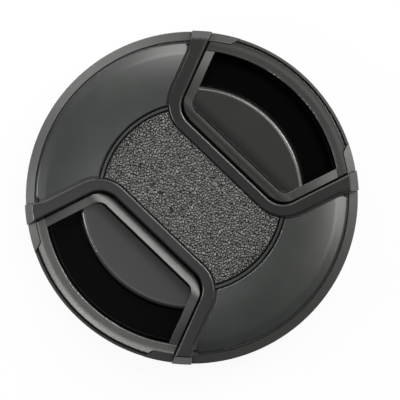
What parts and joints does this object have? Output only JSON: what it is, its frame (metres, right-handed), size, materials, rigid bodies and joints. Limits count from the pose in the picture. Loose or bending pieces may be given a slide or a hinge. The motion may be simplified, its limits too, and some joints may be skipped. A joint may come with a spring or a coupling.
{
  "type": "camera lens cap",
  "caption": "Round centre-pinch lens cap: spring-loaded finger pads slide inward to release thread catches from a filter ring, under a front cover with wings and a textured panel.",
  "frame": {"origin": "centre of the skirt's rear edge, on the cap's own axis", "axes": "+Z out of the cap's front face, away from the lens; +X along the line in which the pads slide"},
  "size_m": [0.062, 0.062, 0.0096],
  "materials": {
    "base_plastic": "satin",
    "cover_plastic": "satin",
    "pad_plastic": "satin",
    "spring_steel": "bright"
  },
  "bodies": {
    "cap": {"cap_base": "base_plastic", "front_cover": "cover_plastic", "spring_upper": "spring_steel", "spring_lower": "spring_steel"},
    "pad_right": {"pinch_pad_right": "pad_plastic"},
    "pad_left": {"pinch_pad_left": "pad_plastic"}
  },
  "joints": [
    {"name": "pinch_right", "type": "slide", "parent": "cap", "child": "pad_right", "axis": [-1, 0, 0], "range_m": [0, 0.0015], "stiffness_N_per_m": 1180, "springref_m": -0.003, "deforming": ["spring_upper", "spring_lower"]},
    {"name": "pinch_left", "type": "slide", "parent": "cap", "child": "pad_left", "axis": [1, 0, 0], "range_m": [0, 0.0015], "stiffness_N_per_m": 1180, "springref_m": -0.003, "deforming": ["spring_upper", "spring_lower"]}
  ]
}
